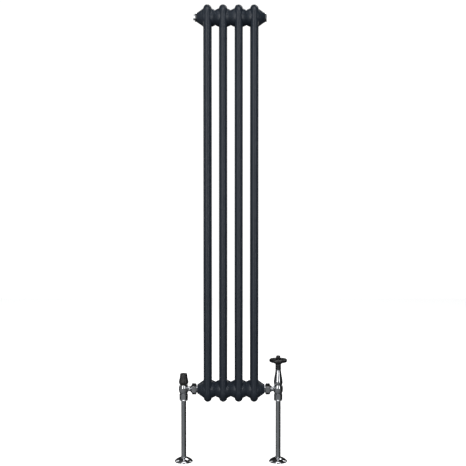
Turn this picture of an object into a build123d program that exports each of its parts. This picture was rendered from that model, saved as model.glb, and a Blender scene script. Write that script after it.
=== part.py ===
from build123d import *
import os

# A tall two-column steel radiator of four sections, standing on its two valves and pipe tails.
# Frame: origin on the floor midway between the pipes, +X to the right, -Y towards the room,
# +Y towards the wall, +Z up. Lengths in millimetres.

# ---- Radiator ----
SECTION_COUNT = 4
SECTION_PITCH = 46.0
TUBE_R = 12.0
TUBE_WALL = 1.5
TUBE_Y = 18.5
BOTTOM_HUB_Z = 218.0
HUB_SPACING = 1100.0
CROWN_REACH = 38.2
STUB_LENGTH = 30.0
HUB_NECK_R = 27.3
HUB_NECK_X = 9.0
HUB_SEAM_R = 21.7
HUB_BULGE = 0.8
HUB_BEND_FILLET = 2.0
END_HUB_REACH = 17.0
END_HUB_R = 22.6
BOSS_FACE_X = 100.0
THREAD_R = 10.48
THREAD_DEPTH = 14.0

# ---- Valves and pipe tails ----
VALVE_X = 141.0
PIPE_R = 7.5
PIPE_BORE_R = 6.8
SHAFT_R = 4.0
SPINDLE_THREAD_R = 5.5
RUNNING_GAP = 0.05
BODY_TOP = 12.5
CHAMBER_R = 9.6
HEADWORK_THREAD_R = 8.4
UNION_THREAD_R = 12.2
COUPLING_THREAD_R = 10.0
WATERWAY_R = 5.6
TAIL_BORE_R = 6.0
GLAND_TOP = 35.0
SOCKET_STOP = -12.0
WHEEL_R = 26.5
WHEEL_UNDERSIDE = 74.0
WHEEL_TOP = 89.8
WHEEL_SHAFT_TOP = 75.0
WHEEL_SQUARE = 5.6
WHEEL_SQUARE_TOP = 87.0
WHEEL_STUD_R = 2.4
WHEEL_STUD_TOP = 96.0
LOCKSHIELD_SHAFT_TOP = 35.6
LOCKSHIELD_SQUARE = 5.0
LOCKSHIELD_SQUARE_TOP = 39.8
FLOOR_PLATE_R = 27.0
CAP_FLUTES = 8

TOP_HUB_Z = BOTTOM_HUB_Z + HUB_SPACING
BEND_Z = CROWN_REACH - TUBE_R - TUBE_Y
SECTION_X = [(i - (SECTION_COUNT - 1) / 2) * SECTION_PITCH for i in range(SECTION_COUNT)]
TAIL_FACE = VALVE_X - BOSS_FACE_X


# ---- Shape helpers ----
def turned(points, axis=Axis.Z):
    """A solid of revolution about Z, or about X, from (radius, height) or (height, radius) points."""
    profile = make_face(Polyline(*points, close=True))
    return revolve(Plane.XZ * profile, axis)


def turned_curve(edges, axis=Axis.Z):
    """A solid of revolution whose outline mixes straight runs and curves."""
    return revolve(Plane.XZ * make_face(edges), axis)


def disc(radius, low, high):
    """An upright round bar between two heights."""
    return Pos(0, 0, (low + high) / 2) * Cylinder(radius, high - low)


def lying(radius, start, end):
    """A round bar along X between two places."""
    return Pos((start + end) / 2, 0, 0) * Rot(0, 90, 0) * Cylinder(radius, abs(end - start))


def hexagon(flats, low, high):
    """An upright hexagonal bar with its size across flats."""
    outline = RegularPolygon(flats / 2, 6, major_radius=False)
    return Pos(0, 0, low) * extrude(outline, high - low)


def domed(nut, corner_r, low, high, drop):
    """A nut whose corners are turned down by a cone at both ends."""
    edge = corner_r - drop * 2
    low_cone = [(0, low), (edge, low), (corner_r, low + drop)]
    high_cone = [(corner_r, high - drop), (edge, high), (0, high)]
    return nut & turned(low_cone + high_cone)


def save(shape, node):
    export_step(shape, f"parts/{node}.step")


# ---- Radiator sections ----
def crown(radius):
    """The round tube bent over from the front leg to the rear leg, its bend above the hub."""
    ring = Pos(0, 0, BEND_Z) * Rot(0, 90, 0) * Torus(TUBE_Y, radius)
    block = 4 * CROWN_REACH
    upper = ring & Pos(0, 0, BEND_Z + block / 2) * Box(block, block, block)
    leg = disc(radius, -STUB_LENGTH, BEND_Z)
    return upper + Pos(0, -TUBE_Y, 0) * leg + Pos(0, TUBE_Y, 0) * leg


def hub_half(reach, edge_r, neck_r):
    """Half of the cross hub: widest beside the tubes, it curves gently in to its welded edge."""
    middle = ((HUB_NECK_X + reach) / 2, (neck_r + edge_r) / 2 + HUB_BULGE)
    flank = ThreePointArc((HUB_NECK_X, neck_r), middle, (reach, edge_r))
    inside = Polyline((reach, edge_r), (reach, 0), (0, 0), (0, neck_r), (HUB_NECK_X, neck_r))
    return turned_curve([flank, inside], Axis.X)


def hub(left_end, inset):
    """The whole cross hub; at the radiator's end it is shorter, where the boss is welded on."""
    reach = END_HUB_REACH if left_end else SECTION_PITCH / 2
    edge_r = END_HUB_R if left_end else HUB_SEAM_R
    left = mirror(hub_half(reach, edge_r - inset, HUB_NECK_R - inset), Plane.YZ)
    return left + hub_half(SECTION_PITCH / 2, HUB_SEAM_R - inset, HUB_NECK_R - inset)


def head(left_end):
    """A pressed head, its legs pointing down: crown, cross hub and two stubs for the tubes."""
    outside = crown(TUBE_R) + hub(left_end, 0)
    joints = [edge for edge in outside.edges() if edge.geom_type not in (GeomType.LINE, GeomType.CIRCLE)]
    outside = fillet(joints, HUB_BEND_FILLET)
    return outside - crown(TUBE_R - TUBE_WALL) - hub(left_end, TUBE_WALL)


def tube():
    """A straight upright tube between the stubs of the two heads."""
    low = BOTTOM_HUB_Z + STUB_LENGTH
    high = TOP_HUB_Z - STUB_LENGTH
    return disc(TUBE_R, low, high) - disc(TUBE_R - TUBE_WALL, low, high)


def make_sections():
    """Four sections welded side by side, each two heads and two tubes."""
    upright = tube()
    end_head = head(True)
    heads = [end_head] + [head(False)] * (SECTION_COUNT - 2) + [Rot(0, 0, 180) * end_head]
    for number, (x, pressed) in enumerate(zip(SECTION_X, heads), start=1):
        save(Pos(x, 0, TOP_HUB_Z) * pressed, f"section_{number}_top_head")
        save(Pos(x, 0, BOTTOM_HUB_Z) * Rot(180, 0, 0) * pressed, f"section_{number}_bottom_head")
        save(Pos(x, -TUBE_Y, 0) * upright, f"section_{number}_front_tube")
        save(Pos(x, TUBE_Y, 0) * upright, f"section_{number}_rear_tube")


def end_boss():
    """A coned boss with a half-inch pipe thread, welded to the outer hub; it points along +X."""
    hub_end = SECTION_X[-1] + END_HUB_REACH
    cone = Spline((hub_end, END_HUB_R), (hub_end + 5, 19.4), (hub_end + 9.5, 16.2), (BOSS_FACE_X, 13.6))
    inner = Polyline(
        (BOSS_FACE_X, 13.6),
        (BOSS_FACE_X, THREAD_R),
        (BOSS_FACE_X - THREAD_DEPTH, THREAD_R),
        (BOSS_FACE_X - THREAD_DEPTH, 13.2),
        (hub_end + 7, 14.8),
        (hub_end, END_HUB_R - TUBE_WALL),
        (hub_end, END_HUB_R),
    )
    return turned_curve([cone, inner], Axis.X)


def make_bosses():
    right = end_boss()
    left = mirror(right, Plane.YZ)
    for level, z in (("top", TOP_HUB_Z), ("bottom", BOTTOM_HUB_Z)):
        save(Pos(0, 0, z) * right, f"{level}_right_boss")
        save(Pos(0, 0, z) * left, f"{level}_left_boss")


# ---- Top plugs, modelled pointing along +X from the boss face ----
def plug_seal():
    return lying(12.6, 0, 1) - lying(THREAD_R, 0, 1)


def plug_blank(head_end):
    """A threaded plug with a hexagonal head that presses its seal on the boss."""
    thread = lying(THREAD_R, -12, 1)
    head_hex = Rot(0, 90, 0) * domed(hexagon(22, 1, head_end), 12.7, 1, head_end, 0.7)
    return thread + head_hex


def bleed_plug():
    """The air vent: a plug with a nose, a seat for the bleed screw and a weep hole."""
    body = plug_blank(6) + lying(8, 6, 10.5)
    recess = lying(4.6, 4, 10.5)
    screw_way = turned([(-12, 0), (-12, 1.5), (-9.55, 1.5), (-8, 3.05), (4, 3.05), (4, 0)], Axis.X)
    weep_hole = Pos(8, 0, -5) * Cylinder(0.9, 10)
    return body - recess - screw_way - weep_hole


def bleed_screw():
    """The vent's screw: a coned tip, a threaded shank and a 5 mm square for the radiator key."""
    shank = turned([(-9.5, 0), (-9.5, 1.45), (-7.95, 3), (4.2, 3), (4.2, 0)], Axis.X)
    square = Pos(6.85, 0, 0) * Box(5.3, 5, 5)
    return shank + square


def make_plugs():
    left_face = Pos(-BOSS_FACE_X, 0, TOP_HUB_Z)
    right_face = Pos(BOSS_FACE_X, 0, TOP_HUB_Z)
    save(left_face * mirror(bleed_plug(), Plane.YZ), "bleed_plug")
    save(left_face * mirror(plug_seal(), Plane.YZ), "bleed_plug_seal")
    save(left_face * mirror(bleed_screw(), Plane.YZ), "bleed_screw")
    save(right_face * plug_blank(5.3), "blanking_plug")
    save(right_face * plug_seal(), "blanking_plug_seal")


# ---- Valve pieces, modelled about the valve's own axis with the tail along -X ----
def valve_body():
    """A rounded angle body: pipe socket below, seat and chamber inside, tail thread to the side."""
    side = Spline((10.4, -14), (13.4, -8), (14.4, 0), (13.7, 7.5), (11.6, BODY_TOP))
    core = Polyline((11.6, BODY_TOP), (0, BODY_TOP), (0, -14), (10.4, -14))
    barrel = turned_curve([side, core])
    flare = Spline((-18, 7.3), (-21, 8.6), (-24, UNION_THREAD_R), tangents=[(-1, 0.1), (-0.4, 1)])
    arm_core = Polyline(
        (-24, UNION_THREAD_R), (-32, UNION_THREAD_R), (-32, 0), (0, 0), (0, 7.3), (-18, 7.3)
    )
    arm = turned_curve([flare, arm_core], Axis.X)
    solid = barrel + arm + disc(COUPLING_THREAD_R, -26, -13)
    solid = solid - disc(HEADWORK_THREAD_R, 6, BODY_TOP) - disc(CHAMBER_R, -8, 6)
    seat = disc(7.4, -8.5, -6.6)
    arm_bore = lying(5.8, 0, -32)
    socket = turned([(0, -26), (8.75, -26), (7.55, -24.2), (7.55, SOCKET_STOP), (0, SOCKET_STOP)])
    return solid + seat - disc(WATERWAY_R, SOCKET_STOP, -6) - arm_bore - socket


def tail():
    """The tail: a collar held by the union nut, and the half-inch thread that enters the boss."""
    thread = lying(THREAD_R, -TAIL_FACE, -TAIL_FACE - 13)
    shank = lying(10.3, -35.5, -TAIL_FACE)
    collar = lying(UNION_THREAD_R - 0.1, -32, -35.5)
    return thread + shank + collar - lying(TAIL_BORE_R, -31, -TAIL_FACE - 14)


def union_nut():
    """The hexagonal union nut that draws the tail's collar onto the body."""
    nut = domed(hexagon(30, 24, 38.5), 17, 24, 38.5, 2.0)
    nut = nut - disc(UNION_THREAD_R, 23, 35.5) - disc(10.6, 35, 39)
    return Rot(0, -90, 0) * nut


def compression_nut():
    """The nut that squeezes the olive onto the pipe, with a flared lower flange."""
    nut = domed(hexagon(22.5, -32, -14.2), 12.6, -32, -14.2, 0.8)
    flange = turned([(0, -34), (12.9, -34), (12.9, -32.8), (11.3, -31), (0, -31)])
    thread = disc(COUPLING_THREAD_R, -26, -14)
    way = [(0, -34.5), (7.7, -34.5), (7.7, -31), (8.1, -31), (8.75, -29.8), (8.75, -26), (0, -26)]
    return nut + flange - thread - turned(way)


def olive():
    """The soft brass ring between the pipe, the body's mouth and the nut."""
    return turned([(PIPE_R, -31), (8.1, -31), (8.75, -29.8), (8.75, -26), (7.55, -24.2), (PIPE_R, -24.2)])


def pipe():
    """The 15 mm pipe from the floor to the stop inside the body's socket."""
    low = -BOTTOM_HUB_Z
    high = SOCKET_STOP - 0.1
    return disc(PIPE_R, low, high) - disc(PIPE_BORE_R, low, high)


def floor_plate():
    """A pressed domed plate with a short collar that grips the pipe where it leaves the floor."""
    rim = (FLOOR_PLATE_R, 1.6)
    dome = Spline(rim, (24.4, 5.0), (17, 9.8), (9.0, 12.4))
    inside = Spline((7.5, 11.4), (16.6, 8.4), (23.2, 4.0), (FLOOR_PLATE_R - 1.5, 0))
    collar = Polyline((9.0, 12.4), (8.8, 14.4), (7.5, 14.4), (7.5, 11.4))
    foot = Polyline((FLOOR_PLATE_R - 1.5, 0), (FLOOR_PLATE_R, 0), rim)
    return Pos(0, 0, -BOTTOM_HUB_Z) * turned_curve([dome, collar, inside, foot])


def headwork():
    """The bonnet screwed into the body: hexagon, barrel, spindle thread and gland chamber."""
    thread = disc(HEADWORK_THREAD_R, 6, BODY_TOP)
    flange = domed(hexagon(17, BODY_TOP, 15.8), 9.6, BODY_TOP, 15.8, 0.4)
    barrel = disc(8, 15, 31)
    spindle_bore = disc(SPINDLE_THREAD_R + RUNNING_GAP, 6, 20)
    shaft_bore = disc(SHAFT_R + RUNNING_GAP, 19, 26)
    return thread + flange + barrel - spindle_bore - shaft_bore - disc(6, 25, 31)


def stem_seal():
    """The rubber ring under the gland nut."""
    return Pos(0, 0, 26) * Torus(5.02, 0.93)


def gland_nut():
    """The small nut that closes the gland chamber round the shaft."""
    collar = disc(6, 27, 31)
    nut = domed(hexagon(13, 31, GLAND_TOP), 7.4, 31, GLAND_TOP, 0.4)
    return collar + nut - disc(SHAFT_R + RUNNING_GAP, 26, GLAND_TOP + 1)


def jumper():
    """The loose disc that carries the seat washer, on a pin inside the spindle."""
    plate = disc(8.2, -4.6, -2.6)
    rim = disc(8.2, -5.6, -4.6) - disc(7.3, -5.6, -4.6)
    return plate + rim + disc(1.5, -6.0, -4.6) + disc(2.55, -2.6, 6.3)


def seat_washer():
    return disc(7.25, -6.6, -4.6) - disc(1.5, -6.6, -4.6)


def spindle(shaft_top, square_flats, square_top):
    """The threaded spindle, its shaft and the square that turns it."""
    lower = disc(SPINDLE_THREAD_R, -2.5, 14.5) + disc(SHAFT_R, 14, shaft_top)
    square_height = square_top - shaft_top
    square = Pos(0, 0, shaft_top + square_height / 2) * Box(square_flats, square_flats, square_height)
    return lower + square - disc(2.6, -2.5, 6.5)


# ---- Pieces of the right, hand-operated valve ----
def wheel_spindle():
    """The long spindle, with a stud above its square for the wheel's cap."""
    stud = disc(WHEEL_STUD_R, WHEEL_SQUARE_TOP, WHEEL_STUD_TOP)
    return spindle(WHEEL_SHAFT_TOP, WHEEL_SQUARE, WHEEL_SQUARE_TOP) + stud


def bell_shroud():
    """The slender bell that covers the headwork, with a neck that stands inside the collar."""
    bell = Spline((11.3, BODY_TOP), (13.25, 19.5), (12.1, 31), (9.9, 43.5), (8.3, 56.2))
    neck = Polyline((8.3, 56.2), (6.9, 56.2), (6.9, 64.8), (4.6, 64.8), (4.6, 50.5), (7.0, 48))
    hollow = Spline((7.0, 48), (8.6, 42), (10.8, 31), (11.95, 19.5), (9.95, BODY_TOP))
    foot = Polyline((9.95, BODY_TOP), (11.3, BODY_TOP))
    return turned_curve([bell, neck, hollow, foot])


def wheel_collar():
    """The dark neck under the wheel, turned with it, with a groove near its lower edge."""
    outline = [
        (7.25, 56.7), (8.0, 56.7), (8.35, 57.3), (8.35, 59.2), (7.9, 59.8), (8.35, 60.6),
        (8.3, WHEEL_UNDERSIDE), (SHAFT_R, WHEEL_UNDERSIDE), (SHAFT_R, 67), (7.25, 67),
    ]
    return turned(outline)


def handwheel():
    """A turned wheel: coned underside, thick upright rim, dished face round a low boss."""
    rim_low = 81.0
    under = Spline((8.3, WHEEL_UNDERSIDE), (11, 76.4), (16, 79.0), (21.8, 80.4), (24.0, rim_low))
    low_corner = ThreePointArc((24.0, rim_low), (25.8, 82.0), (WHEEL_R, 83.9))
    face = Line((WHEEL_R, 83.9), (WHEEL_R, WHEEL_TOP - 3.2))
    top_arc = ThreePointArc((WHEEL_R, WHEEL_TOP - 3.2), (25.7, WHEEL_TOP - 1.0), (23.6, WHEEL_TOP))
    dish = Spline((23.6, WHEEL_TOP), (18.5, 89.1), (12, 87.8), (8.6, 88.2), (7, 89.2))
    core = Polyline((7, 89.2), (0, 89.2), (0, WHEEL_UNDERSIDE), (8.3, WHEEL_UNDERSIDE))
    wheel = turned_curve([under, low_corner, face, top_arc, dish, core])
    square_height = WHEEL_SQUARE_TOP - WHEEL_SHAFT_TOP
    square_z = WHEEL_SHAFT_TOP + square_height / 2
    square = Pos(0, 0, square_z) * Box(WHEEL_SQUARE, WHEEL_SQUARE, square_height)
    stud_way = disc(WHEEL_STUD_R, WHEEL_SQUARE_TOP - 1, WHEEL_TOP)
    return wheel - disc(SHAFT_R, WHEEL_UNDERSIDE, WHEEL_SHAFT_TOP) - square - stud_way


def wheel_cap():
    """The round cap nut on top of the wheel."""
    crown_edge = Spline((6.3, 98.2), (5.4, 99.6), (0, 100.2), tangents=[(0, 1), (-1, 0)])
    core = Polyline(
        (0, 100.2), (0, WHEEL_STUD_TOP), (WHEEL_STUD_R, WHEEL_STUD_TOP), (WHEEL_STUD_R, 89.2),
        (5.7, 89.2), (6.3, 90), (6.3, 98.2),
    )
    return turned_curve([crown_edge, core])


# ---- Pieces of the left, lockshield valve ----
def lockshield_cap():
    """The fluted cap that slips over the headwork: a bell with eight scallops round its crown."""
    flank = Spline((11.0, 12.8), (13.3, 16.8), (14.35, 21.6), (13.2, 27.5), (11.8, 33), (10.7, 43))
    crown_edge = ThreePointArc((10.7, 43), (10.2, 45.5), (7.8, 46.5))
    core = Polyline((7.8, 46.5), (0, 46.5), (0, 12.8), (11.0, 12.8))
    cap = turned_curve([flank, crown_edge, core])
    sleeve_r = 8 + RUNNING_GAP
    hollow = [(0, 12.8), (9.95, 12.8), (9.95, 16.3), (sleeve_r, 18.2), (sleeve_r, 44.1), (0, 44.1)]
    cap = cap - turned(hollow)
    for i in range(CAP_FLUTES):
        turn = 360 / CAP_FLUTES * (i + 0.5)
        cap = cap - Rot(0, 0, turn) * cap_flute()
    return cap


def cap_flute():
    """The cutter for one scallop: a round-ended bar that leans outwards down the cap's flank."""
    low_r, low_z = 15.3, 23.0
    top_r, top_z = 11.7, 49.5
    cutter_r = 2.6
    foot = Pos(low_r, 0, low_z)
    run = Line((low_r, 0, low_z), (top_r, 0, top_z))
    section = Plane(origin=run @ 0, z_dir=run % 0) * Circle(cutter_r)
    return sweep(section, path=run) + foot * Sphere(cutter_r)


# ---- Assembly of both valves ----
def make_valve(side_name, side, extra):
    """Save one valve; the left one is the right one mirrored."""
    pieces = {
        "body": valve_body(),
        "tail": tail(),
        "union_nut": union_nut(),
        "compression_nut": compression_nut(),
        "olive": olive(),
        "pipe": pipe(),
        "floor_plate": floor_plate(),
        "headwork": headwork(),
        "stem_seal": stem_seal(),
        "gland_nut": gland_nut(),
        "jumper": jumper(),
        "seat_washer": seat_washer(),
    }
    pieces.update(extra)
    place = Pos(side * VALVE_X, 0, BOTTOM_HUB_Z)
    for name, piece in pieces.items():
        handed = piece if side > 0 else mirror(piece, Plane.YZ)
        save(place * handed, f"{side_name}_{name}")


def main():
    os.makedirs("parts", exist_ok=True)
    make_sections()
    make_bosses()
    make_plugs()
    wheel_pieces = {
        "spindle": wheel_spindle(),
        "bell_shroud": bell_shroud(),
        "collar": wheel_collar(),
        "handwheel": handwheel(),
        "wheel_cap": wheel_cap(),
    }
    lockshield_pieces = {
        "spindle": spindle(LOCKSHIELD_SHAFT_TOP, LOCKSHIELD_SQUARE, LOCKSHIELD_SQUARE_TOP),
        "cap": lockshield_cap(),
    }
    make_valve("wheel_valve", 1, wheel_pieces)
    make_valve("lockshield", -1, lockshield_pieces)


main()
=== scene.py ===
from math import cos, pi, radians, sin

import bpy
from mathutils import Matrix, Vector


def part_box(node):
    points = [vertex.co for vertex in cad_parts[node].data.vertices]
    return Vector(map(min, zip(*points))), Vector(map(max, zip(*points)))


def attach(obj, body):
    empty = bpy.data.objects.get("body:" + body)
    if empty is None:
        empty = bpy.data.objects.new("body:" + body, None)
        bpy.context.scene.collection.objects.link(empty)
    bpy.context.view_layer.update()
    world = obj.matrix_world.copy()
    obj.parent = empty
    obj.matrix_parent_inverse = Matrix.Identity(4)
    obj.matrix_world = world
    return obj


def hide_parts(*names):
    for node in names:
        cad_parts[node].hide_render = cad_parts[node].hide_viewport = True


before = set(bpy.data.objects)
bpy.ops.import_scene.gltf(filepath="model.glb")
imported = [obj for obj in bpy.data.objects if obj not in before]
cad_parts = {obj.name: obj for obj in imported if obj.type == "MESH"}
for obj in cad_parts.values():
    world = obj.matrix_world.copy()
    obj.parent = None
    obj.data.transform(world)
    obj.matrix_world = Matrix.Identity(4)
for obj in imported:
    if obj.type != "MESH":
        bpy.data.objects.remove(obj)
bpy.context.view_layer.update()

# The view. The radiator is seen straight on from across a room, from a little above its middle, with
# the lens tipped down by under two degrees.
bpy.ops.object.camera_add(location=(0.0062, -2.45, 0.756), rotation=(radians(88.3), 0, 0))
camera = bpy.context.object
camera.name = "camera"
camera.data.lens = 63.8
bpy.context.scene.camera = camera
bpy.context.scene.view_settings.view_transform = "Standard"

# The studio. A pale floor lit to white that runs out into a white backdrop. Polished metal mirrors a
# room that is grey towards the viewer and dark behind, so its edges draw dark lines. A tall soft box
# stands at the front left, a narrower one at the front right, one overhead and three behind.
bpy.ops.object.select_all(action="DESELECT")
bpy.ops.mesh.primitive_plane_add(size=9)
floor = bpy.context.object
floor.name = "floor"
floor.visible_diffuse = False
floor.visible_glossy = False
pale = bpy.data.materials.new("pale_floor")
pale.use_nodes = True
pale_nodes = pale.node_tree.nodes
pale_shader = pale_nodes["Principled BSDF"]
pale_shader.inputs["Roughness"].default_value = 0.9
pale_shader.inputs["Specular IOR Level"].default_value = 0.1
pale_shader.inputs["Emission Color"].default_value = (1, 1, 1, 1)
pale_shader.inputs["Emission Strength"].default_value = 0.85
mottle = pale_nodes.new("ShaderNodeTexNoise")
mottle.inputs["Scale"].default_value = 3.0
mottle_tint = pale_nodes.new("ShaderNodeValToRGB")
mottle_tint.color_ramp.elements[0].color = (0.80, 0.80, 0.80, 1)
mottle_tint.color_ramp.elements[1].color = (0.83, 0.83, 0.83, 1)
floor_place = pale_nodes.new("ShaderNodeTexCoord")
pale.node_tree.links.new(floor_place.outputs["Object"], mottle.inputs["Vector"])
pale.node_tree.links.new(mottle.outputs["Fac"], mottle_tint.inputs["Fac"])
pale.node_tree.links.new(mottle_tint.outputs["Color"], pale_shader.inputs["Base Color"])
floor.data.materials.append(pale)

sweep = bpy.data.worlds.new("studio_sweep")
bpy.context.scene.world = sweep
sweep.use_nodes = True
sweep_nodes = sweep.node_tree.nodes
sweep_link = sweep.node_tree.links.new
ray_kind = sweep_nodes.new("ShaderNodeLightPath")
room_light = sweep_nodes["Background"]
room_light.inputs["Color"].default_value = (0.95, 0.98, 1.0, 1)
mirrored_way = sweep_nodes.new("ShaderNodeTexCoord")
towards_viewer = sweep_nodes.new("ShaderNodeVectorMath")
towards_viewer.operation = "DOT_PRODUCT"
towards_viewer.inputs[1].default_value = (-0.5, -0.87, 0)
sweep_link(mirrored_way.outputs["Generated"], towards_viewer.inputs[0])
mirrored_room = sweep_nodes.new("ShaderNodeMapRange")
mirrored_room.inputs["From Min"].default_value = -0.35
mirrored_room.inputs["From Max"].default_value = 1.0
mirrored_room.inputs["To Min"].default_value = 0.02
mirrored_room.inputs["To Max"].default_value = 0.30
sweep_link(towards_viewer.outputs["Value"], mirrored_room.inputs["Value"])
room_strength = sweep_nodes.new("ShaderNodeMix")
room_strength.inputs["A"].default_value = 0.14
sweep_link(ray_kind.outputs["Is Glossy Ray"], room_strength.inputs["Factor"])
sweep_link(mirrored_room.outputs["Result"], room_strength.inputs["B"])
sweep_link(room_strength.outputs["Result"], room_light.inputs["Strength"])
backdrop_light = sweep_nodes.new("ShaderNodeBackground")
backdrop_light.inputs["Color"].default_value = (1, 1, 1, 1)
backdrop_light.inputs["Strength"].default_value = 1.05
seen_or_lit = sweep_nodes.new("ShaderNodeMixShader")
sweep_link(ray_kind.outputs["Is Camera Ray"], seen_or_lit.inputs[0])
sweep_link(room_light.outputs["Background"], seen_or_lit.inputs[1])
sweep_link(backdrop_light.outputs["Background"], seen_or_lit.inputs[2])
sweep_link(seen_or_lit.outputs["Shader"], sweep_nodes["World Output"].inputs["Surface"])


def soft_box(name, place, aim, width, height, power):
    """A rectangular studio light at a place, turned towards the point it lights."""
    bpy.ops.object.light_add(type="AREA", location=place)
    light = bpy.context.object
    light.name = name
    light.data.shape = "RECTANGLE"
    light.data.size = width
    light.data.size_y = height
    light.data.energy = power
    light.rotation_euler = (Vector(aim) - Vector(place)).to_track_quat("-Z", "Y").to_euler()


soft_box("key_box", (-1.05, -2.3, 1.25), (0, 0, 0.7), 0.6, 2.5, 26)
soft_box("fill_box", (1.2, -2.2, 1.1), (0, 0, 0.6), 0.4, 2.2, 16)
soft_box("top_box", (0, -0.7, 2.6), (0, 0, 1.2), 1.2, 0.8, 11)
soft_box("left_rim", (-1.7, 1.2, 1.3), (0, 0, 0.7), 0.3, 1.6, 5)
soft_box("right_rim", (1.7, 1.2, 1.3), (0, 0, 0.7), 0.3, 1.6, 5)
soft_box("back_box", (0.5, 2.1, 2.9), (0, 0, 0.6), 1.6, 1.0, 24)

# Radiator sections. Each is two pressed steel heads and two drawn tubes, laser welded together and
# powder coated in satin anthracite after welding, so the coat runs over every joint.
mm = 0.001
sections = [f"section_{number}" for number in (1, 2, 3, 4)]
tube_ends = [f"{side}_tube" for side in ("front", "rear")]
head_ends = [f"{level}_head" for level in ("top", "bottom")]


def finish(name, dark, light, roughness, patch, grain, bump, metal=0.0, lines=0.0):
    """A finish with drifting colour and gloss, a fine grain in relief, and turning lines if asked.
    patch and grain are the sizes of the drift and of the grain, bump the relief, all in millimetres."""
    made = bpy.data.materials.new(name)
    made.use_nodes = True
    nodes = made.node_tree.nodes
    link = made.node_tree.links.new
    shader = nodes["Principled BSDF"]
    shader.inputs["Metallic"].default_value = metal
    place = nodes.new("ShaderNodeTexCoord").outputs["Object"]
    drift = nodes.new("ShaderNodeTexNoise")
    drift.inputs["Scale"].default_value = 1 / (patch * mm)
    drift.inputs["Detail"].default_value = 4
    link(place, drift.inputs["Vector"])
    tint = nodes.new("ShaderNodeValToRGB")
    tint.color_ramp.elements[0].position = 0.3
    tint.color_ramp.elements[0].color = (*dark, 1)
    tint.color_ramp.elements[1].position = 0.7
    tint.color_ramp.elements[1].color = (*light, 1)
    link(drift.outputs["Fac"], tint.inputs["Fac"])
    link(tint.outputs["Color"], shader.inputs["Base Color"])
    fine = nodes.new("ShaderNodeTexNoise")
    fine.inputs["Scale"].default_value = 1 / (grain * mm)
    fine.inputs["Detail"].default_value = 3
    link(place, fine.inputs["Vector"])
    wear = nodes.new("ShaderNodeMix")
    wear.inputs["Factor"].default_value = 0.35
    link(drift.outputs["Fac"], wear.inputs["A"])
    link(fine.outputs["Fac"], wear.inputs["B"])
    gloss = nodes.new("ShaderNodeMapRange")
    gloss.inputs["From Min"].default_value = 0.3
    gloss.inputs["From Max"].default_value = 0.7
    gloss.inputs["To Min"].default_value = roughness[0]
    gloss.inputs["To Max"].default_value = roughness[1]
    link(wear.outputs["Result"], gloss.inputs["Value"])
    link(gloss.outputs["Result"], shader.inputs["Roughness"])
    relief = nodes.new("ShaderNodeBump")
    relief.inputs["Strength"].default_value = 0.6
    relief.inputs["Distance"].default_value = bump * mm
    height = fine.outputs["Fac"]
    if lines:
        ridges = nodes.new("ShaderNodeTexWave")
        ridges.bands_direction = "Z"
        ridges.inputs["Scale"].default_value = 1 / (lines * mm * 20)
        ridges.inputs["Distortion"].default_value = 0.4
        link(place, ridges.inputs["Vector"])
        mixed = nodes.new("ShaderNodeMix")
        mixed.inputs["Factor"].default_value = 0.5
        link(height, mixed.inputs["A"])
        link(ridges.outputs["Fac"], mixed.inputs["B"])
        height = mixed.outputs["Result"]
    link(height, relief.inputs["Height"])
    link(relief.outputs["Normal"], shader.inputs["Normal"])
    return made


def wear_finish(node_names, made):
    """Give CAD nodes their finish."""
    for node_name in node_names:
        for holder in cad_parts[node_name].material_slots:
            holder.material = made


powder_coat = finish(
    "anthracite_powder_coat", (0.018, 0.025, 0.037), (0.023, 0.031, 0.044), (0.33, 0.45), 90, 1.1, 0.04
)
powder_coat.node_tree.nodes["Principled BSDF"].inputs["Specular IOR Level"].default_value = 0.35
coated = [f"{section}_{piece}" for section in sections for piece in tube_ends + head_ends]
wear_finish(coated, powder_coat)


def turned(name, outline, sides=96, ring=False):
    """A round piece about its own axis: a disc added at the first point, then pulled up and scaled
    from point to point. A ring has a hole through it, so its last circle is bridged to its first."""
    bpy.ops.object.select_all(action="DESELECT")
    radius, height = outline[0]
    fill = "NOTHING" if ring else "NGON"
    bpy.ops.mesh.primitive_circle_add(vertices=sides, radius=radius * mm, fill_type=fill)
    piece = bpy.context.object
    piece.name = name
    piece.data.name = name
    bpy.ops.object.mode_set(mode="EDIT")
    bpy.ops.transform.translate(value=(0, 0, height * mm))
    for next_radius, next_height in outline[1:]:
        rise = (0, 0, (next_height - height) * mm)
        bpy.ops.mesh.extrude_region_move(TRANSFORM_OT_translate={"value": rise})
        scale = next_radius / radius
        bpy.ops.transform.resize(value=(scale, scale, 1), center_override=(0, 0, next_height * mm))
        radius, height = next_radius, next_height
    if ring:
        bpy.ops.mesh.select_all(action="DESELECT")
        bpy.ops.mesh.select_non_manifold()
        bpy.ops.mesh.bridge_edge_loops()
    bpy.ops.mesh.select_all(action="SELECT")
    bpy.ops.mesh.normals_make_consistent(inside=False)
    bpy.ops.object.mode_set(mode="OBJECT")
    return piece


def placed(piece, at, turn=(0, 0, 0)):
    """Put a piece where it is fitted, with its place in its mesh, and smooth its round faces."""
    bpy.ops.object.select_all(action="DESELECT")
    piece.select_set(True)
    bpy.context.view_layer.objects.active = piece
    piece.location = at
    piece.rotation_euler = turn
    bpy.ops.object.transform_apply(location=True, rotation=True, scale=True)
    bpy.ops.object.shade_smooth_by_angle(angle=radians(35))
    return piece


def copied(piece, name):
    """A second piece of the same make, with its own mesh."""
    twin = piece.copy()
    twin.data = piece.data.copy()
    twin.name = name
    twin.data.name = name
    bpy.context.scene.collection.objects.link(twin)
    return twin


def fitted(piece, body, slot_name, made, *nodes):
    """Finish a piece, fix it to the body it moves with, and let it stand for its CAD nodes."""
    piece.data.materials.clear()
    piece.data.materials.append(made)
    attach(piece, body)
    if nodes:
        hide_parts(*nodes)


def middle(node_name):
    """The middle of a node's box."""
    low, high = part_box(node_name)
    return (low + high) / 2


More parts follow.
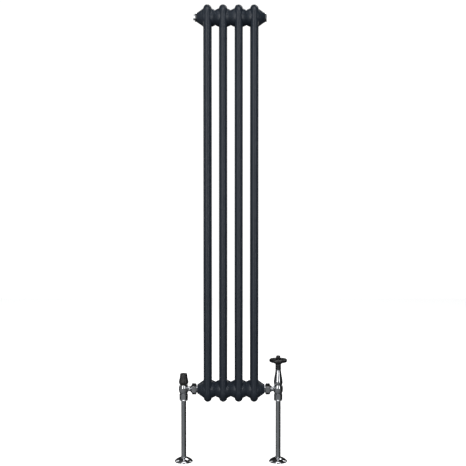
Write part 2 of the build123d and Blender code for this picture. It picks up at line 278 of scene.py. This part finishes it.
# Weld beads. Where a tube meets a head's stub, and where two hubs meet, a laser weld leaves a low
# rounded bead of steel under the coat.
bead_height = 0.32
bead_half_width = 1.3
bead_root = 0.3
bead_steps = 8


def bead(name, radius):
    """A low rounded ring on a round bar of this radius."""
    arc = [pi * step / bead_steps for step in range(bead_steps + 1)]
    crest = [(radius + bead_height * sin(a), -bead_half_width * cos(a)) for a in arc]
    root = radius - bead_root
    return turned(name, crest + [(root, bead_half_width), (root, -bead_half_width)], ring=True)


tube_low, tube_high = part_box("section_1_front_tube")
tube_bead = bead("tube_weld_bead", (tube_high.x - tube_low.x) / 2 / mm)
for section in sections:
    for end in tube_ends:
        low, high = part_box(f"{section}_{end}")
        for level, z in (("top", high.z), ("bottom", low.z)):
            weld = copied(tube_bead, f"{section}_{end}_{level}_weld")
            placed(weld, ((low.x + high.x) / 2, (low.y + high.y) / 2, z))
            fitted(weld, "radiator", "paint", powder_coat)
bpy.data.objects.remove(tube_bead)

hub_bead_radius = 21.55
hub_bead = bead("hub_weld_bead", hub_bead_radius)
for number, section in enumerate(sections[:-1], start=1):
    for level in ("top", "bottom"):
        seam_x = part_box(f"{section}_{level}_head")[1].x
        hub_z = middle(f"{level}_right_boss").z
        weld = copied(hub_bead, f"hub_{number}_{level}_weld")
        placed(weld, (seam_x, 0, hub_z), (0, radians(90), 0))
        fitted(weld, "radiator", "paint", powder_coat)
bpy.data.objects.remove(hub_bead)

# End bosses. Turned steel cones with a half-inch thread inside, welded to the outer hubs and coated
# with the rest, so a bead runs round each where it meets the hub.
bosses = [f"{level}_{side}_boss" for level in ("top", "bottom") for side in ("left", "right")]
wear_finish(bosses, powder_coat)
boss_bead_radius = 22.4
boss_bead = bead("boss_weld_bead", boss_bead_radius)
for boss in bosses:
    low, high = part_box(boss)
    foot_x = low.x if high.x > 0 else high.x
    weld = copied(boss_bead, f"{boss}_weld")
    placed(weld, (foot_x, 0, (low.z + high.z) / 2), (0, radians(90), 0))
    fitted(weld, "radiator", "paint", powder_coat)
bpy.data.objects.remove(boss_bead)

# Plugs at the top. Brass turned from hexagon bar and chromed: at the left the air vent, whose nose
# holds a square bleed screw over a weep hole, and at the right a plain blank. Both press a flat seal.
chrome = finish(
    "polished_chrome", (0.46, 0.47, 0.49), (0.54, 0.55, 0.57), (0.05, 0.13), 14, 3.0, 0.004, metal=1.0
)
brass = finish(
    "turned_brass", (0.50, 0.34, 0.13), (0.68, 0.50, 0.23), (0.22, 0.38), 6, 0.5, 0.02, metal=1.0, lines=0.5
)
rubber = finish("moulded_rubber", (0.010, 0.010, 0.011), (0.020, 0.020, 0.021), (0.6, 0.8), 5, 0.4, 0.03)


def cut(piece, tool, way="DIFFERENCE"):
    """Cut a piece with a tool, or keep only what lies in both, and put the tool away."""
    bpy.context.view_layer.objects.active = piece
    work = piece.modifiers.new("work", "BOOLEAN")
    work.operation = way
    work.solver = "EXACT"
    work.object = tool
    bpy.ops.object.modifier_apply(modifier="work")
    bpy.data.objects.remove(tool)
    return piece


def rounded(piece, width, sharpest=20):
    """Break every edge that is sharper than this angle."""
    bpy.context.view_layer.objects.active = piece
    edge = piece.modifiers.new("edge", "BEVEL")
    edge.width = width * mm
    edge.segments = 3
    edge.limit_method = "ANGLE"
    edge.angle_limit = radians(sharpest)
    bpy.ops.object.modifier_apply(modifier="edge")
    return piece


def hexagon(name, flats, low, high, corner_radius, drop):
    """A hexagon nut about its own axis, its corners turned down by a shallow cone at both ends."""
    bpy.ops.object.select_all(action="DESELECT")
    bpy.ops.mesh.primitive_cylinder_add(
        vertices=6, radius=flats / 2 / cos(pi / 6) * mm, depth=(high - low) * mm,
        location=(0, 0, (high + low) / 2 * mm), rotation=(0, 0, radians(30)),
    )
    nut = bpy.context.object
    nut.name = name
    nut.data.name = name
    bpy.ops.object.transform_apply(location=True, rotation=True, scale=True)
    edge = corner_radius - 2 * drop
    cone = [(edge, low), (corner_radius, low + drop), (corner_radius, high - drop), (edge, high)]
    return cut(nut, turned("chamfer", cone), "INTERSECT")


def plug(name, head_end):
    """A plug pointing up its own axis: the hexagon head and the plain start of its thread."""
    head = hexagon(name, 22, 1, head_end, 12.7, 0.7)
    thread = turned("thread", [(10.4, -12), (10.4, 1.4)], 64)
    return cut(head, thread, "UNION")


blank = rounded(plug("blanking_plug_body", 5.3), 0.25)
blank_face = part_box("top_right_boss")[1].x
placed(blank, (blank_face, 0, middle("blanking_plug").z), (0, radians(90), 0))
fitted(blank, "radiator", "chrome", chrome, "blanking_plug")

vent = plug("air_vent_body", 6)
vent = cut(vent, turned("nose", [(8, 5), (8, 10.5)], 64), "UNION")
vent = cut(vent, turned("recess", [(4.6, 4), (4.6, 12)], 48))
vent = cut(vent, turned("screw_way", [(3.05, -13), (3.05, 5)], 48))
weep_hole = turned("weep_hole", [(0.9, -5), (0.9, 5)], 24)
placed(weep_hole, (7 * mm, 0, 8 * mm), (0, radians(90), 0))
vent = rounded(cut(vent, weep_hole), 0.22)
vent_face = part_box("top_left_boss")[0].x
placed(vent, (vent_face, 0, middle("bleed_plug").z), (0, radians(-90), 0))
fitted(vent, "radiator", "chrome", chrome, "bleed_plug")
wear_finish(["bleed_screw"], brass)
wear_finish(["bleed_plug_seal", "blanking_plug_seal"], rubber)

# Pipes and floor plates. Chromed 15 mm copper tube comes up out of the floor through a spun brass
# plate: a low dome with a rolled rim and a short collar that grips the pipe.
valves = ["wheel_valve", "lockshield"]
wear_finish([f"{valve}_pipe" for valve in valves], chrome)


def flowing(points, steps=7):
    """A smooth line through the given points."""
    line = []
    ends = [points[0]] + points + [points[-1]]
    for a, b, c, d in zip(ends, ends[1:], ends[2:], ends[3:]):
        for step in range(steps):
            t = step / steps
            bend = [(3 * (q - r) + s - p) * t ** 3 + (2 * p - 5 * q + 4 * r - s) * t ** 2 + (r - p) * t
                    for p, q, r, s in zip(a, b, c, d)]
            line.append(tuple(q + 0.5 * value for q, value in zip(b, bend)))
    return line + [points[-1]]


plate_dome = flowing([(26.9, 1.7), (26.2, 3.0), (24.3, 5.0), (21, 7.4), (17, 9.7), (13, 11.4), (9.3, 12.3)])
plate_outline = [(26.3, 0.05), (26.8, 0.3), (26.98, 0.9)] + plate_dome
plate_outline += [(8.95, 12.7), (8.9, 14.1), (8.6, 14.38), (7.9, 14.38), (7.56, 14.1), (7.56, 11.6)]
plate_outline += flowing([(7.56, 11.6), (12.5, 10.4), (16.6, 8.4), (20, 6.3), (23.2, 4.0), (25.4, 0.4)])[1:]
plate_outline += [(25.6, 0.05)]
floor_plate = turned("floor_plate", plate_outline, 128, ring=True)
for valve in valves:
    low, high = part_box(f"{valve}_floor_plate")
    plate = copied(floor_plate, f"{valve}_plate")
    placed(plate, ((low.x + high.x) / 2, 0, low.z))
    fitted(plate, "radiator", "chrome", chrome, f"{valve}_floor_plate")
bpy.data.objects.remove(floor_plate)

# Compression nuts. Chromed brass hexagons that squeeze an olive onto the pipe; their lower edge is
# flared like a small skirt.
skirt = [(12.1, -34), (12.75, -33.8), (12.9, -33.3), (12.8, -32.7)]
skirt += flowing([(12.4, -32.2), (11.6, -31.3), (11.0, -29.6)])
nut_top = -14.2
compression = hexagon("compression_nut", 22.5, -31.4, nut_top, 12.6, 0.9)
compression = cut(compression, turned("skirt", skirt + [(10.9, -28)], 96), "UNION")
compression = cut(compression, turned("pipe_way", [(7.75, -36), (7.75, -12)], 64))
compression = rounded(compression, 0.3)
for valve in valves:
    low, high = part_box(f"{valve}_compression_nut")
    nut = copied(compression, f"{valve}_pipe_nut")
    placed(nut, ((low.x + high.x) / 2, 0, high.z - nut_top * mm))
    fitted(nut, "radiator", "chrome", chrome, f"{valve}_compression_nut")
bpy.data.objects.remove(compression)
wear_finish([f"{valve}_olive" for valve in valves], brass)

# Valve bodies, tails and union nuts. The body is a chromed forging, round like a small vase, with a
# flared arm; a domed hexagon nut on the arm draws the threaded tail in.
wear_finish([f"{valve}_{piece}" for valve in valves for piece in ("body", "tail")], chrome)
union = rounded(hexagon("union_nut", 30, 0, 14.5, 17, 2.0), 0.35)
union = cut(union, turned("tail_way", [(10.7, -1), (10.7, 16)], 96))
for valve in valves:
    low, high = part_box(f"{valve}_union_nut")
    nut = copied(union, f"{valve}_tail_nut")
    placed(nut, (low.x, 0, (low.z + high.z) / 2), (0, radians(90), 0))
    fitted(nut, "radiator", "chrome", chrome, f"{valve}_union_nut")
bpy.data.objects.remove(union)

# Inside each valve: turned brass headwork, gland nut, jumper and square spindle, and rubber seals.
# They stay hidden until a cap is lifted.
inside = [("headwork", brass), ("gland_nut", brass), ("jumper", brass), ("spindle", brass)]
inside += [("stem_seal", rubber), ("seat_washer", rubber)]
for piece, made in inside:
    wear_finish([f"{valve}_{piece}" for valve in valves], made)

# The right valve's bell. A slender spun and chromed shroud that hides the headwork and carries the
# collar's running edge at its neck.
body_top = 12.5
hub_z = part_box("wheel_valve_bell_shroud")[0].z - body_top * mm
bell_flank = [
    (11.3, 12.6), (12.6, 15.5), (13.2, 19.5), (12.9, 25), (12.1, 31), (11.1, 37), (9.9, 43.5),
    (8.9, 50), (8.3, 56),
]
bell_neck = [(8.1, 56.2), (6.9, 56.2), (6.9, 64.8), (4.7, 64.8), (4.7, 50.6)]
bell_hollow = [(6.9, 48), (8.5, 42), (10.7, 31), (11.8, 19.5), (10.0, 12.55)]
bell_outline = flowing(bell_flank, 6) + bell_neck + flowing(bell_hollow, 6)
bell = turned("bell_shroud", bell_outline, 128, ring=True)
wheel_x = middle("wheel_valve_pipe").x
placed(bell, (wheel_x, 0, hub_z))
fitted(bell, "radiator", "chrome", chrome, "wheel_valve_bell_shroud")

# The collar. A dark bronzed sleeve under the wheel, turned with it, with a groove near its lower lip.
gunmetal = finish(
    "bronzed_collar", (0.07, 0.075, 0.078), (0.12, 0.125, 0.13), (0.24, 0.36), 5, 0.6, 0.01,
    metal=0.9, lines=0.35,
)
collar_lip = [(7.3, 56.75), (7.9, 56.75), (8.2, 56.95), (8.33, 57.3)]
collar_groove = [(8.33, 58.9), (8.2, 59.3), (7.92, 59.6), (7.92, 59.9), (8.2, 60.2), (8.33, 60.6)]
collar_neck = [(8.3, 73.9), (4.2, 73.9), (4.2, 67.1), (7.3, 67.1)]
collar = turned("wheel_collar", collar_lip + collar_groove + collar_neck, 96, ring=True)
placed(collar, (wheel_x, 0, hub_z))
fitted(collar, "wheel", "black", gunmetal, "wheel_valve_collar")

# The hand wheel. A turned and satin black enamelled brass wheel: coned underside, thick upright rim,
# dished face, and a round cap nut that holds it on the spindle's stud.
enamel = finish("black_enamel", (0.010, 0.010, 0.011), (0.018, 0.018, 0.019), (0.26, 0.40), 12, 0.7, 0.02)
underside = flowing([(8.3, 74), (11, 76.3), (16, 78.9), (21, 80.2), (23.6, 80.75)], 6)
rim = flowing([(24.6, 81.15), (25.7, 81.95), (26.3, 83.1), (26.5, 84.4)], 3)
rim += flowing([(26.5, 86.4), (26.25, 87.8), (25.5, 88.95), (24.4, 89.6), (23.2, 89.75)], 3)
dish_line = [(20.6, 89.45), (17.2, 88.75), (12, 87.9), (9.6, 87.85), (8.0, 88.4), (7.2, 89.1)]
hand_wheel = turned("hand_wheel", underside + rim + flowing(dish_line, 4), 128)
hand_wheel = cut(hand_wheel, turned("shaft_way", [(4, 73), (4, 90)], 48))
placed(hand_wheel, (wheel_x, 0, hub_z))
fitted(hand_wheel, "wheel", "black", enamel, "wheel_valve_handwheel")

knob_outline = [(5.7, 89.2), (6.15, 89.45), (6.3, 89.95), (6.3, 97.6)]
knob_outline += flowing([(6.2, 98.5), (5.7, 99.2), (4.6, 99.75), (2.6, 100.1), (0.4, 100.18)], 4)
knob = turned("wheel_cap_nut", knob_outline, 64)
placed(knob, (wheel_x, 0, hub_z))
fitted(knob, "wheel", "black", enamel, "wheel_valve_wheel_cap")

# The lockshield's cap. A black moulding like a small bell with eight scallops round its crown; it
# slips over the headwork and lifts straight off.
moulding = finish("black_moulding", (0.016, 0.016, 0.017), (0.026, 0.026, 0.027), (0.34, 0.5), 9, 0.5, 0.03)
flutes = 8
flute_radius = 2.6
flute_reach = 15.3
flute_foot = 23
flute_length = 28
flute_lean = -3.6
cap_mouth = [(10.4, 12.85), (11.0, 13.0)]
cap_flank = [
    (12.2, 14.9), (13.3, 16.8), (14.2, 19.4), (14.3, 21.6), (13.9, 24.5), (13.2, 27.5), (11.8, 33),
    (11.2, 38), (10.7, 42.5),
]
cap_crown = [(10.6, 43.7), (10.2, 45.2), (9.3, 46.2), (7.6, 46.45)]
cap = turned("lockshield_cover", cap_mouth + flowing(cap_flank, 4) + flowing(cap_crown, 3), 128)
for flute in range(flutes):
    bpy.ops.object.select_all(action="DESELECT")
    bpy.ops.mesh.primitive_uv_sphere_add(segments=32, ring_count=16, radius=flute_radius * mm)
    scallop = bpy.context.object
    bpy.ops.object.mode_set(mode="EDIT")
    bpy.ops.mesh.select_all(action="DESELECT")
    bpy.ops.object.mode_set(mode="OBJECT")
    for vertex in scallop.data.vertices:
        vertex.select = vertex.co.z > 0
    bpy.ops.object.mode_set(mode="EDIT")
    bpy.ops.transform.translate(value=(flute_lean * mm, 0, flute_length * mm))
    bpy.ops.object.mode_set(mode="OBJECT")
    turn = radians(360 / flutes * (flute + 0.5))
    foot = (flute_reach * cos(turn) * mm, flute_reach * sin(turn) * mm, flute_foot * mm)
    placed(scallop, foot, (0, 0, turn))
    cap = cut(cap, scallop)
hollow = [(9.95, 12), (9.95, 16.3), (8.05, 18.2), (8.05, 44.1)]
cap = cut(cap, turned("hollow", hollow, 96))
bpy.context.view_layer.objects.active = cap
skin = cap.modifiers.new("skin", "REMESH")
skin.mode = "VOXEL"
skin.voxel_size = 0.36 * mm
bpy.ops.object.modifier_apply(modifier="skin")
soften = cap.modifiers.new("soften", "SMOOTH")
soften.factor = 0.5
soften.iterations = 5
bpy.ops.object.modifier_apply(modifier="soften")
lockshield_x = middle("lockshield_pipe").x
placed(cap, (lockshield_x, 0, hub_z))
fitted(cap, "lockshield_cover", "black", moulding, "lockshield_cap")
